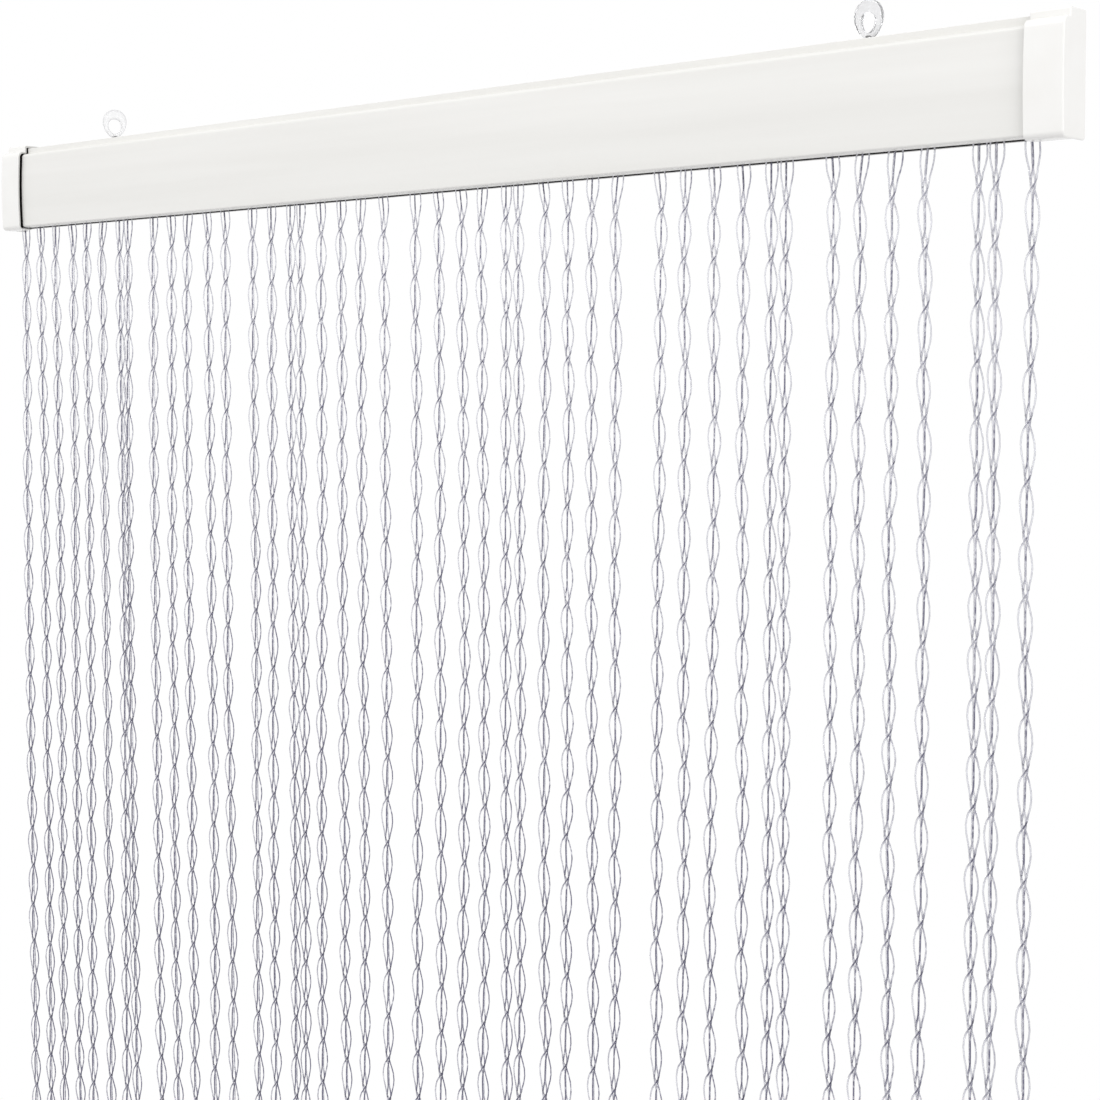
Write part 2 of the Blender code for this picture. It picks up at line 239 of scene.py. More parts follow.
def make_piece(name, shells, body, material, nodes, normals=None, depth=None):
    """One mesh from closed shells, in place, riding on a body and standing for its CAD nodes.

    The depth at each point is read by the materials. On white plastic it is 1 inside and 0
    outside, and the inside takes a painted shade. On a strand it is the darkness of its painted
    shade, and below 0 it is how milky the strand is.
    """
    counts = np.cumsum([0] + [len(points) for points, _, _ in shells])
    points = np.concatenate([shell[0] for shell in shells]) * MM
    quads = np.concatenate([shell[1] + start for shell, start in zip(shells, counts)])
    ends = [end + start for shell, start in zip(shells, counts) for end in shell[2]]
    loops = np.concatenate([quads.ravel(), *ends]) if ends else quads.ravel()
    sizes = np.concatenate([np.full(len(quads), 4), [len(end) for end in ends]]).astype(np.int32)
    starts = np.concatenate([[0], np.cumsum(sizes)[:-1]]).astype(np.int32)
    mesh = bpy.data.meshes.new(name)
    mesh.vertices.add(len(points))
    mesh.vertices.foreach_set("co", points.astype(np.float32).ravel())
    mesh.loops.add(len(loops))
    mesh.loops.foreach_set("vertex_index", loops.astype(np.int32))
    mesh.polygons.add(len(sizes))
    mesh.polygons.foreach_set("loop_start", starts)
    mesh.update(calc_edges=True)
    mesh.shade_smooth()
    if depth is not None:
        marks = mesh.attributes.new("depth", "FLOAT", "POINT")
        marks.data.foreach_set("value", depth.astype(np.float32))
    if normals is not None:
        mesh.normals_split_custom_set_from_vertices(normals)
    mesh.materials.append(material)
    item = bpy.data.objects.new(name, mesh)
    bpy.context.scene.collection.objects.link(item)
    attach(item, body)
    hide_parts(*nodes)


def rounded_outline(corners, steps=4):
    """A closed outline with rounded corners, from rows of depth, height and radius.

    Each corner is a circular arc, written as a curve with weights 1, the cosine of half the turn
    and 1 at its start, corner and end. A radius of 0 keeps the corner as one point.
    """
    corners = np.array(corners, float)
    place, radius = corners[:, :2], corners[:, 2]
    back = np.roll(place, 1, axis=0) - place
    ahead = np.roll(place, -1, axis=0) - place
    back /= np.linalg.norm(back, axis=1)[:, None]
    ahead /= np.linalg.norm(ahead, axis=1)[:, None]
    half = np.arccos(np.clip(np.einsum("ij,ij->i", back, ahead), -1, 1)) / 2
    reach = (radius / np.tan(half))[:, None, None]
    weight = np.sin(half)[:, None, None]
    t = np.linspace(0, 1, steps + 1)[None, :, None]
    start = place[:, None] + reach * back[:, None]
    end = place[:, None] + reach * ahead[:, None]
    shares = ((1 - t) ** 2, 2 * weight * t * (1 - t), t**2)
    points = (shares[0] * start + shares[1] * place[:, None] + shares[2] * end) / sum(shares)
    kept = np.ones(points.shape[:2], bool)
    kept[radius == 0, 1:] = False
    return points[kept]


def marked_from(outside, hollow, steps=4):
    """0 for each point that the first corner rows give, and 1 for each that the later ones give."""
    radii = [np.array(rows, float)[:, 2] for rows in (outside, hollow)]
    counts = [np.where(radius == 0, 1, steps + 1).sum() for radius in radii]
    return np.repeat([0.0, 1.0], counts)


def along_rail(outline, low, high, edge, between=(), steps=4):
    """A closed outline carried along X between two places, with both its end edges rounded.

    Towards an end the outline draws in by the edge radius times one less the cosine of an angle
    that runs to a right angle, while X runs out by the radius times its sine. The outline is also
    repeated at each place between the ends that is asked for.
    """
    chord = np.roll(outline, -1, axis=0) - np.roll(outline, 1, axis=0)
    area = np.cross(outline, np.roll(outline, -1, axis=0)).sum()
    outward = np.stack([chord[:, 1], -chord[:, 0]], axis=1) * np.sign(area)
    outward /= np.linalg.norm(outward, axis=1)[:, None]
    angle = np.linspace(0, np.pi / 2, steps + 1)
    turn = np.concatenate([-angle[::-1], np.zeros(len(between)), angle])
    low_end = np.full(steps + 1, low + edge)
    high_end = np.full(steps + 1, high - edge)
    base = np.concatenate([low_end, between, high_end])
    x = base + edge * np.sin(turn)
    inset = edge * (1 - np.cos(turn))
    flat = outline[None] - outward[None] * inset[:, None, None]
    grid = np.empty((len(turn), len(outline), 3))
    grid[..., 0] = x[:, None]
    grid[..., 1] = flat[..., 0]
    grid[..., 2] = flat[..., 1] - RAIL_HEIGHT / 2
    normals = np.empty_like(grid)
    normals[..., 0] = np.sin(turn)[:, None]
    normals[..., 1:] = outward[None] * np.cos(turn)[:, None, None]
    return skin(grid), normals.reshape(-1, 3)


# Rail and end caps


def front_corners(offset, play=0.0, foot_play=0.0, count=15):
    """Shoulder, bulging front and foot as corner rows, grown by an offset and moved forwards.

    The bulge is a parabola over the front's height, 0 at both ends and full half way. The foot is
    also moved down by its own play.
    """
    face = RAIL_FACE + play + offset
    share = np.linspace(1, 0, count)[1:-1]
    height = FOOT_ROUND + (SHOULDER_HEIGHT - SHOULDER_ROUND - FOOT_ROUND) * share
    bulge = FRONT_BULGE * (1 - (2 * share - 1) ** 2)
    middle = np.stack([-(face + bulge), height, np.zeros_like(share)], axis=1)
    shoulder = (-face, SHOULDER_HEIGHT + offset, SHOULDER_ROUND + offset)
    foot = (-face, -offset - foot_play, FOOT_ROUND + offset)
    return np.concatenate([[shoulder], middle, [foot]])


def rail_section():
    """The rail's whole section as one closed line, outside first and then back along the inside.

    Returns the line and, for each of its points, 1 where it is inside and 0 outside.
    """
    lip = RAIL_HEIGHT - WALL
    top = [
        (0, 0, SOFT), (0, RAIL_HEIGHT, SOFT), (-CHANNEL_SLOT[0], RAIL_HEIGHT, CRISP),
        (-CHANNEL_SLOT[0], lip, CRISP), (-WALL, lip, CRISP), (-WALL, CHANNEL_FLOOR, CRISP),
        (WALL - WEB_DEPTH, CHANNEL_FLOOR, CRISP), (WALL - WEB_DEPTH, lip, CRISP),
        (-CHANNEL_SLOT[1], lip, CRISP), (-CHANNEL_SLOT[1], RAIL_HEIGHT, CRISP),
        (-WEB_DEPTH, RAIL_HEIGHT, SOFT), (-WEB_DEPTH, SHOULDER_HEIGHT, CRISP),
    ]
    foot = [
        (-STRING_SLOT[1], 0, CRISP), (-STRING_SLOT[1], RIB_HEIGHT, CRISP),
        (-GROOVE[0], RIB_HEIGHT, CRISP), (-GROOVE[0], WALL, CRISP), (-GROOVE[1], WALL, CRISP),
        (-GROOVE[1], RIB_HEIGHT, CRISP), (-RIB_FRONT, RIB_HEIGHT, CRISP), (-RIB_FRONT, WALL, CRISP),
    ]
    chamber_front = front_corners(-WALL)[::-1]
    chamber = [
        (-WEB_DEPTH, SHOULDER_HEIGHT - WALL, CRISP), (-WEB_DEPTH, CHANNEL_FLOOR - WALL, CRISP),
        (-WALL, CHANNEL_FLOOR - WALL, CRISP), (-WALL, WALL, CRISP),
        (-STRING_SLOT[0], WALL, CRISP), (-STRING_SLOT[0], 0, CRISP),
    ]
    outside = np.concatenate([top, front_corners(0.0), foot[:1]])
    hollow = np.concatenate([foot[1:], chamber_front, chamber])
    return rounded_outline(np.concatenate([outside, hollow])), marked_from(outside, hollow)


def make_rail(material):
    """The rail's section carried from cap to cap.

    Its hollow is marked as inside, and so is what its ends hold under the caps' fronts, and the
    material paints both with a near-black shade for the shadow there.
    """
    end = HALF_WIDTH - CAP_END - CAP_GAP
    mouth = HALF_WIDTH - CAP_LENGTH
    section, inside = rail_section()
    between = np.array([-mouth - CRISP, -mouth + CRISP, mouth - CRISP, mouth + CRISP])
    shell, normals = along_rail(section, -end, end, CRISP, between)
    x = shell[0][:: len(section), 0]
    # Under the caps' fronts the rail's face is marked for the near-black painted shade too
    shaded_under_caps = (np.abs(x) > mouth)[:, None] & (section[:, 0] < -CAP_WAY)
    depth = np.maximum(inside, shaded_under_caps).ravel()
    make_piece(
        "rail_profile", [shell], "rail_assembly", material, ["rail"], normals, depth
    )


def cap_rows(offset, back_round=SOFT, foot_play=0.0):
    """A cap's outline from its back over the top and down the front, as corner rows."""
    web = -(WEB_DEPTH + WEB_PLAY + offset)
    top = [
        (0, RAIL_HEIGHT + offset, back_round),
        (web, RAIL_HEIGHT + offset, CAP_RIDGE_ROUND + offset / 2),
        (web, SHOULDER_HEIGHT + offset, CRISP),
    ]
    return np.concatenate([top, front_corners(offset, CAP_PLAY, foot_play)])


def make_cap(side, material):
    """A sleeve, open behind and along the strings' way, with a rounded plate over its outer end."""
    outer, inner = cap_rows(CAP_GAP + CAP_WALL), cap_rows(CAP_GAP, foot_play=FOOT_PLAY)
    lip = [(-CAP_WAY, -CAP_GAP - CAP_WALL, SOFT), (-CAP_WAY, -CAP_GAP - FOOT_PLAY, SOFT)]
    outside, hollow = np.concatenate([outer, lip[:1]]), np.concatenate([lip[1:], inner[::-1]])
    sleeve = rounded_outline(np.concatenate([outside, hollow]))
    whole = cap_rows(CAP_GAP + CAP_WALL, CAP_ROUND + CRISP)
    plate_foot = [(0, -CAP_GAP - CAP_WALL, CAP_ROUND + CRISP)]
    plate = rounded_outline(np.concatenate([whole, plate_foot]), CAP_PLATE_STEPS)
    sign = -1 if side == "left" else 1
    reach = sorted([sign * (HALF_WIDTH - CAP_LENGTH), sign * (HALF_WIDTH - CAP_ROUND - CRISP)])
    plate_reach = sorted([sign * (HALF_WIDTH - CAP_END), sign * HALF_WIDTH])
    sleeve_shell, sleeve_normals = along_rail(sleeve, *reach, CAP_RIM_ROUND)
    plate_shell, plate_normals = along_rail(plate, *plate_reach, CAP_ROUND)
    normals = np.concatenate([sleeve_normals, plate_normals])
    # The sleeve's inside takes a near-black painted shade, and its rims a share of it
    inside = np.tile(marked_from(outside, hollow), (len(sleeve_normals) // len(sleeve), 1))
    inside[[0, -1]] = RIM_PAINTED_SHADE
    depth = np.concatenate([inside.ravel(), np.zeros(len(plate_normals))])
    shells = [sleeve_shell, plate_shell]
    name = f"end_cap_{side}"
    make_piece(
        f"{side}_cap_shell", shells, "rail_assembly", material, [name], normals, depth
    )


# Hanging eyes


def egg(size, turn):
    """An oval from its width, height and lift, wider towards its top.

    Across it is the sine of the turn, more so by the taper times the cosine. Upwards it is one
    plus the cosine.
    """
    width, height, lift = size
    across = width / 2 * np.sin(turn) * (1 + RING_TAPER * np.cos(turn))
    return np.stack([across, lift + height / 2 * (1 + np.cos(turn))], axis=-1)


def ring_surface(around=64, across=20):
    """A closed ring between two eggs, with a section that is a rounded box.

    At each turn the section runs from the hole to the outside. Its two coordinates are the cosine
    and sine of a second angle, each to the ring's power with its sign kept.
    """
    turn = np.linspace(0, 2 * np.pi, around, endpoint=False)
    angle = np.linspace(0, 2 * np.pi, across, endpoint=False)
    outer, hole = egg(RING, turn), egg(HOLE, turn)
    middle, reach = (outer + hole) / 2, (outer - hole) / 2
    side, through = (np.sign(f) * np.abs(f) ** RING_POWER for f in (np.cos(angle), np.sin(angle)))
    flat = middle[:, None] + reach[:, None] * side[None, :, None]
    grid = np.empty((around, across, 3))
    grid[..., 0], grid[..., 2] = flat[..., 0], flat[..., 1]
    grid[..., 1] = RING_THICK / 2 * through[None]
    return grid


def turned_surface(profile, around=24):
    """A profile of radius and height turned about the vertical axis."""
    angle = np.linspace(0, 2 * np.pi, around, endpoint=False)
    radius, height = np.array(profile).T
    grid = np.empty((len(radius), around, 3))
    grid[..., 0] = radius[:, None] * np.cos(angle)
    grid[..., 1] = radius[:, None] * np.sin(angle)
    grid[..., 2] = height[:, None]
    return grid


def make_eye(side, material):
    turn = EYE_TURNS[side]
    spin = np.array([[np.cos(turn), np.sin(turn), 0], [-np.sin(turn), np.cos(turn), 0], [0, 0, 1]])
    place = np.array([-EYE_AT if side == "left" else EYE_AT, -EYE_DEPTH, RAIL_HEIGHT / 2])
    shells = [
        skin(ring_surface() @ spin + place, looped=True),
        skin(turned_surface(STEM) @ spin + place),
    ]
    name = f"hanging_eye_{side}"
    make_piece(f"{side}_clear_eye", shells, name, material, [name])


# Strings


def strand_tubes(paths):
    """A round tube along each path: the path plus the radius times two directions square to it.

    The first direction is X with its part along the path taken out, the second is square to both.
    """
    along = np.gradient(paths, axis=1)
    along /= np.linalg.norm(along, axis=2)[..., None]
    first = np.array([1.0, 0.0, 0.0]) - along[..., :1] * along
    first /= np.linalg.norm(first, axis=2)[..., None]
    second = np.cross(along, first)
    angle = np.linspace(0, 2 * np.pi, STRAND_SIDES, endpoint=False)
    ring = first[:, :, None] * np.cos(angle)[:, None] + second[:, :, None] * np.sin(angle)[:, None]
    return paths[:, :, None] + STRAND_RADII[:, None, None, None] * ring


def sway(depth, lengths, starts, limit):
    """A slow wander with depth, none at the hook: sine waves that together stay in a limit."""
    waves = SWAY_SHARES[:, None] * np.sin(depth / lengths[:, None] + starts[:, None])
    return limit * waves.sum(axis=0) * smooth_step((depth - SWAY_FROM) / SWAY_BUILD)


def strand_darkness(chance, depth, swell, angle, round_in, middles, tone):
    """How dark each strand is painted down the string, and below 0 how milky it is.

    The darkness is a painted shade for how the clear strands bend and reflect light. A side's
    share is half of one plus the cosine of the strand's angle from that side, to a power. The
    outer strands are painted darker in front where they are pinched, and the inner ones most
    where they part. The top cage has a darkness for each strand and blends into that. At each
    cage's middle each strand takes a seeded multiple, which runs evenly from one to the next. The
    tone adds darkness all round and more on the front and the shaded side, and it grows lower
    down. At the slot the outer strands turn milky.
    """
    outer = np.arange(STRANDS)[:, None] % 2 == 0
    sides = (FRONT_SIDE, SHADED_SIDE)
    front, dark = ((0.5 + 0.5 * np.cos(angle - side)) ** SIDE_POWER for side in sides)
    pressed = 1 - smooth_step(swell / PINCHED_SWELL)
    parted = INNER_LEAST + (1 - INNER_LEAST) * swell
    darkness = front * np.where(outer, pressed, parted)
    darkness = TOP_DARKNESS + (darkness - TOP_DARKNESS) * round_in
    multiples = [chance.uniform(*CAGE_DARKNESS, len(middles)) for _ in range(STRANDS)]
    darkness *= [np.interp(depth, middles, multiple) for multiple in multiples]
    low_down = np.clip(depth / TONE_HEIGHT, 0, 1)
    added = TONE_LEFT * tone + (TONE_LOW + TONE_LOW_LEFT * tone) * low_down
    darkness += added * (SIDE_SHARES[0] + SIDE_SHARES[1] * front + SIDE_SHARES[2] * dark)
    milky = outer * np.interp(depth, MILKY_AT, (0, 1, 1, 0))
    return darkness * (1 - milky) - milky


def string_strands(seed, room, tone):
    """Four strands that swell into cages and twist half a turn together between them.

    Along the string a strand keeps a radius and an angle about the middle line. The radius runs
    from the bundle's to the cage's with the swell, read from the share of a cage's length, and
    each cage and strand has a seeded fullness. The left side swells before the right one. The
    angle falls by half a turn across each pinch, so an outer strand is right in one cage, crosses
    in front and is left in the next. The top cage opens flat, over the hook and through the slot,
    wider to the right than to the left, and blends into a round bundle at its end. The middle
    line drifts to one side, strays at the pinches and sways. Returns the paths and the darkness.
    """
    chance = np.random.default_rng(seed)
    first = chance.uniform(*TOP_LENGTHS)
    pitch = CAGE_PITCH + chance.uniform(-PITCH_UNEVEN, PITCH_UNEVEN)
    hem = PIVOT_HEIGHT - HEM_HEIGHT - chance.uniform(0.0, HEM_UNEVEN)
    cages = int((hem - first) / pitch) + 2
    lengths = np.concatenate([[first], pitch * chance.uniform(*CAGE_LENGTHS, cages - 1)])
    starts = np.concatenate([[0.0], np.cumsum(lengths)[:-1]])
    lower = (starts[1:, None] + lengths[1:, None] * CAGE_STEPS).ravel()
    upper = first * CAGE_STEPS
    depth = np.concatenate([TOP_STEPS, upper[upper > TOP_STEPS[-1] + STEP_GAP], lower])
    depth = np.append(depth[depth < hem - HEM_GAP], hem)
    cage = np.clip(np.searchsorted(starts, depth, side="right") - 1, 0, cages - 1)
    share = (depth - starts[cage]) / lengths[cage]
    swells = (LEFT_SWELL, RIGHT_SWELL, INNER_SWELL)
    left, right, inner = (np.interp(share, SWELL_AT, each) for each in swells)
    even = cage % 2 == 0
    swell = np.stack([np.where(even, right, left), inner, np.where(even, left, right), inner])
    fullness = chance.uniform(*CAGE_FULLNESS, (cages, 1))
    fullness = fullness * chance.uniform(*STRAND_FULLNESS, (cages, STRANDS))
    radius = BUNDLE + (CAGE - BUNDLE) * swell * fullness[cage].T
    before = smooth_step((share + 1 - TWIST_START) / TWIST_LENGTH) + cage - 1
    after = smooth_step((share - TWIST_START) / TWIST_LENGTH)
    twist = np.pi * (np.where(cage > 0, before, 0.0) + after)
    lean = chance.uniform(*LEAN)
    lean = lean + LEAN_WAVE * np.sin(depth / LEAN_WAVE_LENGTH + chance.uniform(*WAVE_STARTS))
    quarter = np.pi / 4 + np.pi / 2 * np.arange(STRANDS)[:, None]
    angle = quarter - twist + lean
    openings = [np.interp(depth, TOP_STEPS, opening) for opening in (TOP_OUTER, TOP_INNER)]
    shares = np.array([[chance.uniform(*limits)] for limits in TOP_SHARES])
    opened = 1 + (shares - 1) * smooth_step(depth / TOP_SHARES_DEPTH)
    wide = np.sign(np.cos(quarter)) * np.array(openings * 2) * opened
    deep = np.sign(np.sin(quarter)) * TOP_HALF_DEPTH
    rounds_from, rounds_to = TOP_ROUNDS_AT
    round_in = smooth_step((depth / first - rounds_from) / (rounds_to - rounds_from))
    wave_lengths = chance.uniform(*SWAY_LENGTHS, len(SWAY_SHARES))
    wave_starts = chance.uniform(*WAVE_STARTS, len(SWAY_SHARES))
    drift = chance.uniform(-DRIFT, DRIFT) * (room - DRIFT_ROOM)
    drift = drift * smooth_step((depth - DRIFT_FROM) / DRIFT_BUILD)
    pinches = np.append(starts, starts[-1] + lengths[-1])
    strays = chance.uniform(-STRAY, STRAY, cages + 1)
    stray = np.interp(depth, pinches, strays) * min(room, 1.0) * round_in
    forward_waves = (wave_lengths * FORWARD_LENGTHS, wave_starts + FORWARD_STARTS)
    paths = np.empty((STRANDS, len(depth), 3))
    paths[..., 0] = wide + (radius * np.cos(angle) - wide) * round_in
    paths[..., 1] = deep + (radius * np.sin(angle) - deep) * round_in
    paths[..., 0] += drift + stray + sway(depth, wave_lengths, wave_starts, room)
    paths[..., 1] += sway(depth, *forward_waves, FORWARD_SWAY)
    paths[..., 2] = -depth
    middles = starts + lengths / 2
    return paths, strand_darkness(chance, depth, swell, angle, round_in, middles, tone)


def make_strings(material):
    """Each string hangs from its own hook, and sways less where its neighbour is close.

    Its room is a share of the way to its nearest neighbour, less a string's width. Its tone is 0
    at the rail's right end and runs to 1 at the rail's middle and beyond.
    """
    names = [f"string_{number + 1:02d}" for number in range(STRING_COUNT)]
    boxes = [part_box(name) for name in names]
    places = np.array([(low.x + high.x) / 2 for low, high in boxes]) / MM
    spaces = np.diff(places)
    nearest = np.minimum(np.append(spaces, NO_NEIGHBOUR), np.insert(spaces, 0, NO_NEIGHBOUR))
    rooms = np.minimum(MOST_ROOM, ROOM_SHARE * (nearest - STRING_WIDTH))
    tones = np.clip((HALF_WIDTH - places) / TONE_WIDTH, 0, 1)
    for number, name in enumerate(names):
        paths, darkness = string_strands(STRING_SEED + number, rooms[number], tones[number])
        paths += np.array([places[number], -STRING_DEPTH, PIVOT_HEIGHT])
        shells = [skin(tube) for tube in strand_tubes(paths)]
        depth = np.repeat(darkness.ravel(), STRAND_SIDES)
        make_piece(
            f"{name}_strands", shells, name, material, [name], None, depth
        )


# Materials


def new_material(name):
    material = bpy.data.materials.new(name)
    material.use_nodes = True
    return material, material.node_tree.nodes, material.node_tree.links


def grain(nodes, links, scale, stretch, detail=3.0):
    """Noise on the object's own coordinates, in cycles per metre times the stretch on each axis."""
    place = nodes.new("ShaderNodeTexCoord")
    mapping = nodes.new("ShaderNodeMapping")
    mapping.inputs["Scale"].default_value = stretch
    noise = nodes.new("ShaderNodeTexNoise")
    noise.inputs["Scale"].default_value = scale
    noise.inputs["Detail"].default_value = detail
    links.new(place.outputs["Object"], mapping.inputs["Vector"])
    links.new(mapping.outputs["Vector"], noise.inputs["Vector"])
    return noise.outputs["Fac"]


def spread(nodes, links, source, low, high):
    """A value that runs from low to high as the noise runs between the noise limits."""
    ramp = nodes.new("ShaderNodeMapRange")
    ramp.inputs["From Min"].default_value = NOISE_LIMITS[0]
    ramp.inputs["From Max"].default_value = NOISE_LIMITS[1]
    ramp.inputs["To Min"].default_value = low
    ramp.inputs["To Max"].default_value = high
    links.new(source, ramp.inputs["Value"])
    return ramp.outputs["Result"]


def blend_colours(nodes, links, share, first, second):
    mix = nodes.new("ShaderNodeMix")
    mix.data_type = "RGBA"
    mix.inputs["A"].default_value = (*first, 1)
    mix.inputs["B"].default_value = (*second, 1)
    links.new(share, mix.inputs["Factor"])
    return mix.outputs["Result"]


def towards_colour(nodes, links, colour, other, uneven=None):
    """The colour, replaced by another one as the piece's depth goes from 0 to 1.

    Where an uneven value is given, the depth is multiplied by it.
    """
    depth = nodes.new("ShaderNodeAttribute")
    depth.attribute_name = "depth"
    share = depth.outputs["Fac"]
    mix = nodes.new("ShaderNodeMix")
    mix.data_type = "RGBA"
    mix.inputs["B"].default_value = (*other, 1)
    if uneven:
        times = nodes.new("ShaderNodeMath")
        times.operation = "MULTIPLY"
        times.use_clamp = True
        links.new(share, times.inputs[0])
        links.new(uneven, times.inputs[1])
        share = times.outputs["Value"]
    links.new(share, mix.inputs["Factor"])
    links.new(colour, mix.inputs["A"])
    return mix.outputs["Result"]


def by_depth(nodes, links, depths, values, socket):
    """Runs a shader's value from one number to another as the piece's depth does."""
    depth = nodes.new("ShaderNodeAttribute")
    depth.attribute_name = "depth"
    ramp = nodes.new("ShaderNodeMapRange")
    for name, number in zip(("From Min", "From Max", "To Min", "To Max"), (*depths, *values)):
        ramp.inputs[name].default_value = number
    links.new(depth.outputs["Fac"], ramp.inputs["Value"])
    links.new(ramp.outputs["Result"], socket)


def rough_surface(nodes, links, source, strength, distance):
    bump = nodes.new("ShaderNodeBump")
    bump.inputs["Strength"].default_value = strength
    bump.inputs["Distance"].default_value = distance
    links.new(source, bump.inputs["Height"])
    return bump.outputs["Normal"]


def white_plastic(name, colours, roughness, grains, bump, inner=None):
    """Moulded or extruded white plastic: two close whites, uneven gloss and a fine skin.

    Where it has an inner colour, surfaces marked as inside take that painted shade and are less
    glossy, so that they read dark.
    """
    material, nodes, links = new_material(name)
    shader = nodes["Principled BSDF"]
    cloud = grain(nodes, links, *grains[0])
    fine = grain(nodes, links, *grains[1])
    shade = spread(nodes, links, cloud, 0.0, 1.0)
    colour = blend_colours(nodes, links, shade, *colours)
    if inner:
        # Surfaces marked as inside take a near-black painted shade, with less specular gloss
        colour = towards_colour(nodes, links, colour, inner)
        by_depth(nodes, links, (0.0, 1.0), SPECULAR, shader.inputs["Specular IOR Level"])
    links.new(colour, shader.inputs["Base Color"])
    links.new(spread(nodes, links, cloud, *roughness), shader.inputs["Roughness"])
    links.new(rough_surface(nodes, links, fine, *bump), shader.inputs["Normal"])
    shader.inputs["IOR"].default_value = WHITE_IOR
    return material


def clear_plastic(name, middle, edge, facing, transmission, roughness, clouds, painted_shade=None):
    """Clear plastic painted darker where the surface turns away, a painted shade for its dark
    edges.

    Where it has a painted shade colour, the piece's depth turns it towards that, unevenly by a
    noise. A depth below 0 makes it let less light through, so that it looks milky.
    """
    material, nodes, links = new_material(name)
    shader = nodes["Principled BSDF"]
    weight = nodes.new("ShaderNodeLayerWeight")
    weight.inputs["Blend"].default_value = facing
    # The edge colour is a painted shade where the surface turns away from the view
    colour = blend_colours(nodes, links, weight.outputs["Facing"], middle, edge)
    shader.inputs["Transmission Weight"].default_value = transmission
    if painted_shade:
        noise = grain(nodes, links, *PAINT_GRAIN)
        uneven = spread(nodes, links, noise, *PAINT_SHARES)
        colour = towards_colour(nodes, links, colour, painted_shade, uneven)
        weights = (MILKY_TRANSMISSION, transmission)
        by_depth(nodes, links, (-1.0, 0.0), weights, shader.inputs["Transmission Weight"])
    links.new(colour, shader.inputs["Base Color"])
    cloud = grain(nodes, links, *clouds)
    links.new(spread(nodes, links, cloud, *roughness), shader.inputs["Roughness"])
    shader.inputs["IOR"].default_value = CLEAR_IOR
    return material


def make_materials():
    """The five plastics. A grain is its scale, its stretch on each axis and its detail."""
    rail = white_plastic(
        "satin_extruded_white",
        colours=((0.85, 0.842, 0.813), (0.895, 0.888, 0.862)),
        roughness=(0.32, 0.46),
        grains=((70.0, (0.04, 1, 1), 4.0), (900.0, (0.05, 1, 1), 2.0)),
        bump=(0.12, 0.00005),
        # A near-black painted shade for the rail's hollow and its ends under the caps
        inner=(0.025, 0.022, 0.022),
    )
    cap = white_plastic(
        "gloss_moulded_white",
        colours=((0.93, 0.92, 0.895), (0.955, 0.95, 0.93)),
        roughness=(0.14, 0.22),
        grains=((40.0, (1, 1, 1), 2.0), (500.0, (1, 1, 1), 2.0)),
        bump=(0.05, 0.00005),
        # A near-black painted shade for the caps' insides, and a share of it on their rims
        inner=(0.02, 0.018, 0.015),
    )
    inner = white_plastic(
        "matt_inner_white",
        colours=((0.76, 0.76, 0.74), (0.81, 0.81, 0.79)),
        roughness=(0.45, 0.6),
        grains=((90.0, (1, 1, 1), 3.0), (1500.0, (1, 1, 1), 2.0)),
        bump=(0.15, 0.00005),
    )
    eye = clear_plastic(
        "clear_eye",
        middle=(0.95, 0.95, 0.955),
        edge=(0.6, 0.6, 0.64),
        facing=0.35,
        transmission=0.8,
        roughness=(0.08, 0.2),
        clouds=(250.0, (1, 1, 1), 2.0),
    )
    string = clear_plastic(
        "clear_string",
        middle=(0.92, 0.92, 0.96),
        edge=(0.6, 0.6, 0.69),
        facing=0.45,
        transmission=0.82,
        roughness=(0.06, 0.18),
        clouds=(60.0, (1, 1, 1), 2.0),
        # A dark painted shade that the strands' depth turns them towards
        painted_shade=(0.21, 0.205, 0.29),
    )
    return rail, cap, inner, eye, string


# Floor, light and camera


def make_floor():
    """A pale floor that keeps the shadow near the curtain and runs out to white far from it."""
    mesh = bpy.data.meshes.new("studio_floor")
    height = HEM_HEIGHT * MM - FLOOR_BELOW_HEM
    turns = ((-1, -1), (1, -1), (1, 1), (-1, 1))
    corners = [(FLOOR_HALF * across, FLOOR_HALF * along, height) for across, along in turns]
    mesh.from_pydata(corners, [], [(0, 1, 2, 3)])
    floor = bpy.data.objects.new("studio_floor", mesh)
    bpy.context.scene.collection.objects.link(floor)
    material, nodes, links = new_material("studio_floor")
    mesh.materials.append(material)
    shader = nodes["Principled BSDF"]
    shader.inputs["Base Color"].default_value = FLOOR_COLOUR
    shader.inputs["Roughness"].default_value = FLOOR_ROUGHNESS
    white = nodes.new("ShaderNodeEmission")
    white.inputs["Strength"].default_value = 1.0
    place = nodes.new("ShaderNodeTexCoord")
    level = nodes.new("ShaderNodeVectorMath")
    level.operation = "MULTIPLY"
    level.inputs[1].default_value = (1, 1, 0)
    length = nodes.new("ShaderNodeVectorMath")
    length.operation = "LENGTH"
    fade = nodes.new("ShaderNodeMapRange")
    fade.interpolation_type = "SMOOTHSTEP"
    fade.inputs["From Min"].default_value = FLOOR_FADE[0]
    fade.inputs["From Max"].default_value = FLOOR_FADE[1]
    seen = nodes.new("ShaderNodeMath")
    seen.operation = "MULTIPLY"
    mix = nodes.new("ShaderNodeMixShader")
    links.new(place.outputs["Object"], level.inputs[0])
    links.new(level.outputs["Vector"], length.inputs[0])
    links.new(length.outputs["Value"], fade.inputs["Value"])
    links.new(fade.outputs["Result"], seen.inputs[0])
    links.new(seen_ray(nodes, links), seen.inputs[1])
    links.new(seen.outputs["Value"], mix.inputs["Fac"])
    links.new(shader.outputs["BSDF"], mix.inputs[1])
    links.new(white.outputs["Emission"], mix.inputs[2])
    links.new(mix.outputs["Shader"], nodes["Material Output"].inputs["Surface"])


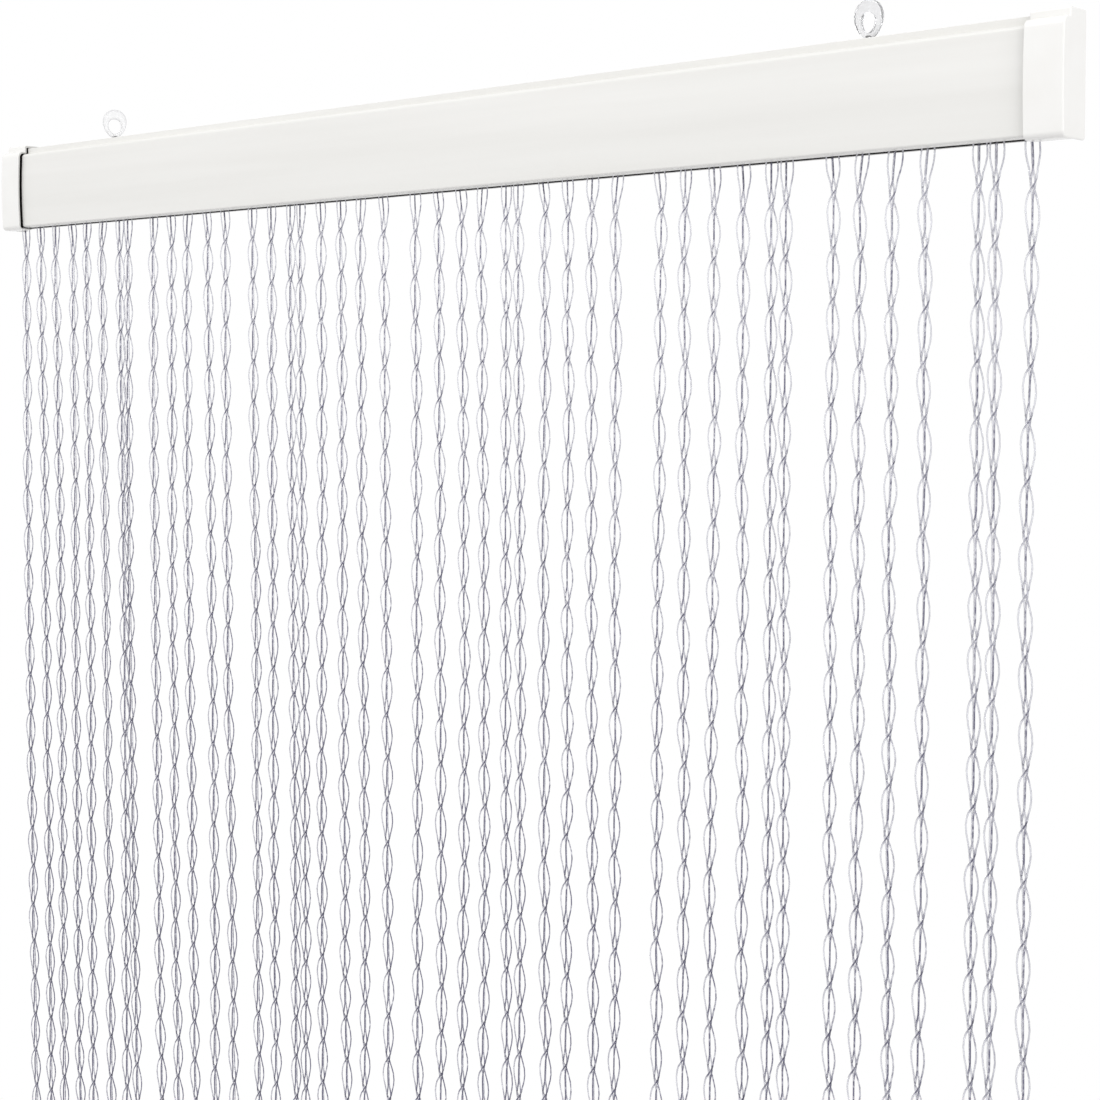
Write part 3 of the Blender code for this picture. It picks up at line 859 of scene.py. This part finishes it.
def seen_ray(nodes, links):
    """1 for a ray that carries the picture, and 0 for one that carries light to the object.

    The first kind comes from the camera, off gloss or through clear plastic. Once a ray has met a
    matt surface it counts as light, which its diffuse depth tells: 0 before that and 1 after it.
    """
    path = nodes.new("ShaderNodeLightPath")
    glossy, clear, direct, seen = (nodes.new("ShaderNodeMath") for _ in range(4))
    glossy.operation = clear.operation = "MAXIMUM"
    direct.operation = "LESS_THAN"
    direct.inputs[1].default_value = HALF_A_BOUNCE
    seen.operation = "MULTIPLY"
    links.new(path.outputs["Is Camera Ray"], glossy.inputs[0])
    links.new(path.outputs["Is Glossy Ray"], glossy.inputs[1])
    links.new(glossy.outputs["Value"], clear.inputs[0])
    links.new(path.outputs["Is Transmission Ray"], clear.inputs[1])
    links.new(path.outputs["Diffuse Depth"], direct.inputs[0])
    links.new(clear.outputs["Value"], seen.inputs[0])
    links.new(direct.outputs["Value"], seen.inputs[1])
    return seen.outputs["Value"]


def make_world():
    world = bpy.data.worlds.new("studio")
    bpy.context.scene.world = world
    world.use_nodes = True
    nodes, links = world.node_tree.nodes, world.node_tree.links
    light = nodes["Background"]
    white = nodes.new("ShaderNodeBackground")
    mix = nodes.new("ShaderNodeMixShader")
    light.inputs["Color"].default_value = WHITE
    light.inputs["Strength"].default_value = WORLD_STRENGTH
    white.inputs["Color"].default_value = WHITE
    links.new(seen_ray(nodes, links), mix.inputs["Fac"])
    links.new(light.outputs["Background"], mix.inputs[1])
    links.new(white.outputs["Background"], mix.inputs[2])
    links.new(mix.outputs["Shader"], nodes["World Output"].inputs["Surface"])


def make_lamp(name, place, aim, size, power):
    lamp = bpy.data.lights.new(name, "AREA")
    lamp.shape = "SQUARE"
    lamp.size = size
    lamp.energy = power
    item = bpy.data.objects.new(name, lamp)
    bpy.context.scene.collection.objects.link(item)
    direction = np.array(aim, float) - np.array(place, float)
    tilt = np.arctan2(np.hypot(direction[0], direction[1]), -direction[2])
    turn = np.arctan2(-direction[0], direction[1])
    item.location = place
    item.rotation_euler = (tilt, 0, turn)
    item.visible_camera = False


def make_camera():
    camera = bpy.data.cameras.new("camera")
    camera.lens = CAMERA_LENS
    camera.sensor_width = CAMERA_SENSOR
    camera.shift_y = CAMERA_SHIFT
    camera.clip_end = CAMERA_FAR
    item = bpy.data.objects.new("camera", camera)
    bpy.context.scene.collection.objects.link(item)
    item.location = CAMERA_PLACE
    item.rotation_euler = (np.radians(90 - CAMERA_DIP), 0, np.radians(CAMERA_TURN))
    bpy.context.scene.camera = item


def main():
    make_camera()
    rail, cap, inner, eye, string = make_materials()
    make_rail(rail)
    for side in ("left", "right"):
        make_cap(side, cap)
        make_eye(side, eye)
    make_strings(string)
    for name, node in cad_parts.items():
        if name.startswith(("hook_strip", "glider")):
            node.data.materials.clear()
            node.data.materials.append(inner)
    make_floor()
    make_world()
    make_lamp("key", place=(-0.8, -2.2, 2.6), aim=(0, 0, -0.2), size=2.4, power=46)
    make_lamp("fill", place=(3.2, -1.2, 0.6), aim=(0, 0, -0.4), size=2.4, power=34)
    bpy.context.scene.view_settings.view_transform = "Standard"


main()
